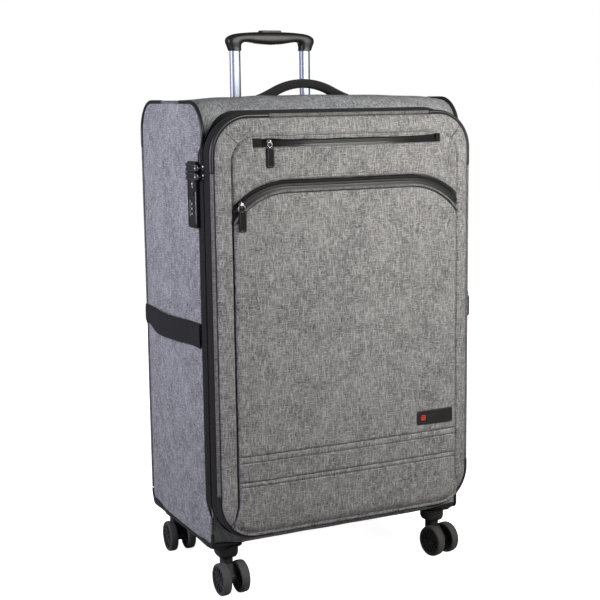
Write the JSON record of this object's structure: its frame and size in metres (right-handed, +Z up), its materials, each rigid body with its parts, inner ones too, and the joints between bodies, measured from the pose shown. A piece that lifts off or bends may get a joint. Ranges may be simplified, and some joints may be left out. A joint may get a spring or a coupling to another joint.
{
  "type": "softside suitcase",
  "caption": "Large softside upright suitcase with padded front pockets, zipped lid, telescopic handle, carry handles, side lock and twin-wheel swivel casters.",
  "frame": {"origin": "on the floor, under the middle of the whole suitcase, lid included (the sideways middle is the middle of the fabric body, 5 mm from the middle of the bounding box because of the strap)", "axes": "+Z up, +X to the case's right seen from the front, +Y towards the back; the lid faces -Y"},
  "size_m": [0.4825, 0.3383, 0.91],
  "materials": {
    "fabric_grey": "heather grey polyester weave",
    "piping_grey": "grey woven piping",
    "piping_black": "satin PVC sleeve",
    "fabric_black": "black woven polyester",
    "zip_black": "black zip tape and coil",
    "board": "polypropylene board",
    "lining": "thin polyester lining",
    "plastic_black": "satin moulded plastic",
    "dial_white": "black dial with white figures",
    "slider_metal": "bright plated zinc",
    "steel": "zinc-plated steel",
    "aluminium": "bright anodised",
    "badge": "satin black with a plain red mark",
    "wheel": "black hub, dark grey tread"
  },
  "bodies": {
    "case": {"wrap_fabric": "fabric_grey", "side_panel_left": "fabric_grey", "side_panel_right": "fabric_grey", "frame_board": "board", "case_lining": "lining", "side_pipings": "piping_grey", "side_piping_sleeves": "piping_black", "corner_guards_front": "plastic_black", "corner_guards_rear": "plastic_black", "guard_screws": "steel", "caster_kingpins": "steel", "trolley_outer_tubes": "aluminium", "trolley_base_bracket": "plastic_black", "trolley_top_bezel": "plastic_black", "main_zip_flap": "fabric_black", "main_zip_case_tape": "zip_black", "lid_hinge_tape": "fabric_black", "lock_body": "plastic_black", "handle_anchors": "plastic_black"},
    "lid_frame": {"lid_band": "fabric_black", "main_zip_lid_tape": "zip_black", "expander_zip_tape": "zip_black"},
    "front_panel": {"front_panel_shell": "fabric_grey", "expander_gusset": "fabric_black", "front_piping": "piping_grey", "front_piping_sleeves": "piping_black", "front_pocket_panel": "fabric_grey", "top_pocket_zip_tape": "zip_black", "front_pocket_zip_tape": "zip_black", "label_badge": "badge", "front_panel_lining": "lining"},
    "top_handle": {"top_handle": "fabric_black"},
    "side_strap": {"side_strap": "fabric_black"},
    "lock_dial_1": {"lock_dial_1": "dial_white"},
    "lock_dial_2": {"lock_dial_2": "dial_white"},
    "lock_dial_3": {"lock_dial_3": "dial_white"},
    "lock_button": {"lock_release_button": "plastic_black"},
    "trolley_handle": {"trolley_inner_tubes": "aluminium", "trolley_grip": "plastic_black"},
    "trolley_release": {"trolley_release_button": "plastic_black", "push_rods": "steel"},
    "trolley_lock_pins": {"tube_lock_pins": "steel"},
    "main_upper_slider": {"main_upper_slider": "slider_metal"},
    "main_upper_puller": {"main_upper_puller": "plastic_black"},
    "main_lower_slider": {"main_lower_slider": "slider_metal"},
    "main_lower_puller": {"main_lower_puller": "plastic_black"},
    "expander_slider": {"expander_slider": "slider_metal"},
    "expander_puller": {"expander_puller": "plastic_black"},
    "top_pocket_slider": {"top_pocket_slider": "slider_metal"},
    "top_pocket_puller": {"top_pocket_puller": "plastic_black"},
    "front_pocket_slider": {"front_pocket_slider": "slider_metal"},
    "front_pocket_puller": {"front_pocket_puller": "plastic_black"},
    "caster_front_left": {"caster_fork_front_left": "plastic_black"},
    "wheels_front_left": {"wheelset_front_left": "wheel"},
    "caster_front_right": {"caster_fork_front_right": "plastic_black"},
    "wheels_front_right": {"wheelset_front_right": "wheel"},
    "caster_rear_left": {"caster_fork_rear_left": "plastic_black"},
    "wheels_rear_left": {"wheelset_rear_left": "wheel"},
    "caster_rear_right": {"caster_fork_rear_right": "plastic_black"},
    "wheels_rear_right": {"wheelset_rear_right": "wheel"}
  },
  "joints": [
    {"name": "lid_hinge", "type": "hinge", "parent": "case", "child": "lid_frame", "pos_m": [0.236, -0.11875, 0.437], "axis": [0, 0, 1], "range_deg": [0, 175]},
    {"name": "expander_slide", "type": "slide", "parent": "lid_frame", "child": "front_panel", "axis": [0, -1, 0], "range_m": [0, 0.045]},
    {"name": "trolley_slide", "type": "slide", "parent": "case", "child": "trolley_handle", "axis": [0, 0, 1], "range_m": [-0.117, 0.205]},
    {"name": "trolley_button_press", "type": "slide", "parent": "trolley_handle", "child": "trolley_release", "axis": [0, 0, -1], "range_m": [0, 0.005], "stiffness_N_per_m": 600},
    {"name": "lock_pin_retract", "type": "slide", "parent": "trolley_handle", "child": "trolley_lock_pins", "axis": [0, -1, 0], "range_m": [0, 0.002]},
    {"name": "top_handle_tilt", "type": "hinge", "parent": "case", "child": "top_handle", "pos_m": [0, 0.003, 0.7975], "axis": [1, 0, 0], "range_deg": [-50, 50], "stiffness_Nm_per_rad": 0.3},
    {"name": "side_strap_pull", "type": "slide", "parent": "case", "child": "side_strap", "axis": [-1, 0, 0], "range_m": [0, 0.015], "stiffness_N_per_m": 200},
    {"name": "lock_dial_1_turn", "type": "hinge", "parent": "case", "child": "lock_dial_1", "pos_m": [-0.2322, -0.087, 0.6345], "axis": [0, 0, 1], "continuous": true},
    {"name": "lock_dial_2_turn", "type": "hinge", "parent": "case", "child": "lock_dial_2", "pos_m": [-0.2322, -0.087, 0.6269], "axis": [0, 0, 1], "continuous": true},
    {"name": "lock_dial_3_turn", "type": "hinge", "parent": "case", "child": "lock_dial_3", "pos_m": [-0.2322, -0.087, 0.6193], "axis": [0, 0, 1], "continuous": true},
    {"name": "lock_button_press", "type": "slide", "parent": "case", "child": "lock_button", "axis": [1, 0, 0], "range_m": [0, 0.002], "stiffness_N_per_m": 400},
    {"name": "main_upper_slider_run", "type": "slide", "parent": "case", "child": "main_upper_slider", "axis": [0, 0, 1], "range_m": [0, 0.015]},
    {"name": "main_upper_puller_swing", "type": "hinge", "parent": "main_upper_slider", "child": "main_upper_puller", "pos_m": [-0.239, -0.11875, 0.691], "axis": [0, 0, 1], "range_deg": [0, 170]},
    {"name": "main_lower_slider_run", "type": "slide", "parent": "case", "child": "main_lower_slider", "axis": [0, 0, 1], "range_m": [-0.5, 0]},
    {"name": "main_lower_puller_swing", "type": "hinge", "parent": "main_lower_slider", "child": "main_lower_puller", "pos_m": [-0.239, -0.11875, 0.6775], "axis": [0, 0, 1], "range_deg": [0, 170]},
    {"name": "expander_slider_run", "type": "slide", "parent": "lid_frame", "child": "expander_slider", "axis": [0, 0, 1], "range_m": [-0.28, 0.2]},
    {"name": "expander_puller_swing", "type": "hinge", "parent": "expander_slider", "child": "expander_puller", "pos_m": [0.2342, -0.141, 0.468], "axis": [0, -1, 0], "range_deg": [0, 170]},
    {"name": "top_pocket_slider_run", "type": "slide", "parent": "front_panel", "child": "top_pocket_slider", "axis": [1, 0, 0], "range_m": [0, 0.29]},
    {"name": "top_pocket_puller_swing", "type": "hinge", "parent": "top_pocket_slider", "child": "top_pocket_puller", "pos_m": [-0.138, -0.1637, 0.728], "axis": [-1, 0, 0], "range_deg": [0, 170]},
    {"name": "front_pocket_slider_run", "type": "hinge", "parent": "front_panel", "child": "front_pocket_slider", "pos_m": [-0.109, -0.1625, 0.541], "axis": [0, 1, 0], "range_deg": [0, 40]},
    {"name": "front_pocket_puller_swing", "type": "hinge", "parent": "front_pocket_slider", "child": "front_pocket_puller", "pos_m": [-0.18742, -0.1667, 0.63446], "axis": [-1, 0, 0], "range_deg": [0, 170]},
    {"name": "caster_swivel_front_left", "type": "hinge", "parent": "case", "child": "caster_front_left", "pos_m": [-0.196, -0.0925, 0.045], "axis": [0, 0, 1], "continuous": true},
    {"name": "wheel_spin_front_left", "type": "hinge", "parent": "caster_front_left", "child": "wheels_front_left", "pos_m": [-0.19566, -0.1119, 0.0265], "axis": [0.9998, 0.0175, 0], "continuous": true},
    {"name": "caster_swivel_front_right", "type": "hinge", "parent": "case", "child": "caster_front_right", "pos_m": [0.196, -0.0925, 0.045], "axis": [0, 0, 1], "continuous": true},
    {"name": "wheel_spin_front_right", "type": "hinge", "parent": "caster_front_right", "child": "wheels_front_right", "pos_m": [0.1997, -0.11154, 0.0265], "axis": [0.9816, 0.1908, 0], "continuous": true},
    {"name": "caster_swivel_rear_left", "type": "hinge", "parent": "case", "child": "caster_rear_left", "pos_m": [-0.196, 0.1425, 0.045], "axis": [0, 0, 1], "continuous": true},
    {"name": "wheel_spin_rear_left", "type": "hinge", "parent": "caster_rear_left", "child": "wheels_rear_left", "pos_m": [-0.19702, 0.12313, 0.0265], "axis": [0.9986, -0.0523, 0], "continuous": true},
    {"name": "caster_swivel_rear_right", "type": "hinge", "parent": "case", "child": "caster_rear_right", "pos_m": [0.196, 0.1425, 0.045], "axis": [0, 0, 1], "continuous": true},
    {"name": "wheel_spin_rear_right", "type": "hinge", "parent": "caster_rear_right", "child": "wheels_rear_right", "pos_m": [0.19769, 0.12317, 0.0265], "axis": [0.9962, 0.0872, 0], "continuous": true}
  ],
  "couplings": [
    {"joint": "lock_pin_retract", "follows": "trolley_button_press", "ratio": 0.4}
  ]
}
